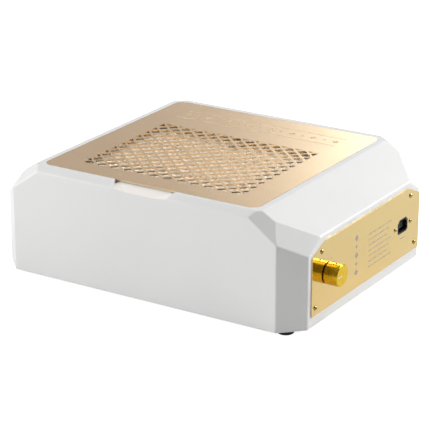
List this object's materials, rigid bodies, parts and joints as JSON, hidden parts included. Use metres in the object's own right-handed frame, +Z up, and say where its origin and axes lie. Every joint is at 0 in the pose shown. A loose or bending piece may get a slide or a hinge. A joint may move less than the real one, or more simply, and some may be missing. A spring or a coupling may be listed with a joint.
{
  "type": "nail dust collector",
  "caption": "Desktop nail dust collector: faceted white housing, lift-off gold pierced grille over a drop-in pleated filter, internal fan, gold side panel with speed knob and mains inlet.",
  "frame": {"origin": "middle of the whole object's footprint, knob included, on the plane that the feet rest on; the housing's own middle is 10.35 mm towards -X", "axes": "+Z up, +X towards the side with the control panel, -Y towards the user (the side with the finger scoop)"},
  "size_m": [0.4508, 0.3356, 0.1467],
  "materials": {
    "housing_white": "smooth semi-gloss moulding",
    "grey_plastic_plate": "fine textured powder coat",
    "zinc_steel": "zinc plated",
    "black_rubber": "matt moulded",
    "gold_mirror": "polished gold sheet",
    "gold_screw": "polished gold plating",
    "nickel_pins": "bright nickel",
    "gold_anodised": "gold anodised, fine turned",
    "pointer_white": "paint filled",
    "pot_metal": "pressed",
    "black_plastic": "moulded",
    "grey_plastic": "moulded",
    "filter_frame_white": "moulded",
    "filter_paper": "pleated paper",
    "foam_grey": "closed-cell foam",
    "pull_ribbon": "woven ribbon",
    "zinc_sheet": "galvanised sheet",
    "impeller_plastic": "moulded",
    "black_steel": "black enamel",
    "laminated_steel": "stacked laminations",
    "bearing_steel": "ground",
    "cast_aluminium": "die cast",
    "copper_wire": "enamelled copper wire",
    "circuit_board": "solder mask",
    "standoff_nylon": "moulded nylon",
    "choke_green": "coated ring core",
    "capacitor_yellow": "moulded box",
    "terminal_green": "moulded",
    "cable_white": "sleeved can",
    "earth_lead_green": "insulated wire",
    "cable_grey": "sheathed cable",
    "brown_lead": "insulated wire",
    "lead_red": "insulated wire"
  },
  "bodies": {
    "housing": {"body_shell": "housing_white", "base_plate": "grey_plastic_plate", "base_screws": "zinc_steel", "rubber_feet": "black_rubber", "foot_screws": "zinc_steel", "plate_magnets": "nickel_pins", "control_panel": "gold_mirror", "panel_screws": "gold_screw", "pot_body": "pot_metal", "pot_terminals": "nickel_pins", "pot_washer": "zinc_steel", "pot_nut": "zinc_steel", "power_inlet": "black_plastic", "inlet_pins": "nickel_pins", "inlet_screws": "gold_screw", "filter_tray": "grey_plastic", "tray_screws": "zinc_steel", "fan_inlet_ring": "zinc_sheet", "inlet_ring_screws": "zinc_steel", "motor_bearings": "bearing_steel", "motor_base": "cast_aluminium", "stator_core": "laminated_steel", "stator_windings": "copper_wire", "motor_bracket": "zinc_sheet", "motor_screws": "zinc_steel", "vibration_bushes": "black_rubber", "bracket_screws": "zinc_steel", "speed_board": "circuit_board", "board_standoffs": "standoff_nylon", "board_screws": "zinc_steel", "board_heatsink": "cast_aluminium", "board_triac": "black_plastic", "board_choke": "choke_green", "board_filter_capacitor": "capacitor_yellow", "terminal_block": "terminal_green", "board_fuse": "black_plastic", "run_capacitor": "cable_white", "capacitor_clamp": "zinc_sheet", "earth_stud": "zinc_steel", "earth_lead": "earth_lead_green", "motor_cable": "cable_grey", "mains_leads": "brown_lead", "pot_leads": "lead_red", "large_nuts": "zinc_steel", "small_nuts": "zinc_steel"},
    "top_plate": {"top_grille_plate": "gold_mirror"},
    "filter": {"filter_frame": "filter_frame_white", "filter_media": "filter_paper", "filter_gasket": "foam_grey", "filter_pull_tabs": "pull_ribbon"},
    "knob": {"speed_knob": "gold_anodised", "knob_pointer": "pointer_white", "knob_grub_screw": "zinc_steel", "pot_shaft": "pot_metal"},
    "fan": {"fan_impeller": "impeller_plastic", "impeller_screws": "zinc_steel", "rotor_can": "black_steel", "rotor_cage": "laminated_steel", "motor_shaft": "zinc_steel", "shaft_clip": "zinc_steel"}
  },
  "joints": [
    {"name": "knob_turn", "type": "hinge", "parent": "housing", "child": "knob", "pos_m": [0.20615, -0.097, 0.063], "axis": [-1, 0, 0], "range_deg": [0, 300]},
    {"name": "fan_spin", "type": "hinge", "parent": "housing", "child": "fan", "pos_m": [-0.01035, -0.03, 0.05], "axis": [0, 0, 1], "continuous": true},
    {"name": "plate_lift", "type": "slide", "parent": "housing", "child": "top_plate", "axis": [0, 0, 1], "range_m": [0, 0.12]},
    {"name": "filter_lift", "type": "slide", "parent": "housing", "child": "filter", "axis": [0, 0, 1], "range_m": [0, 0.06]}
  ],
  "couplings": [
    {"joint": "filter_lift", "follows": "plate_lift", "ratio": 0.5}
  ]
}
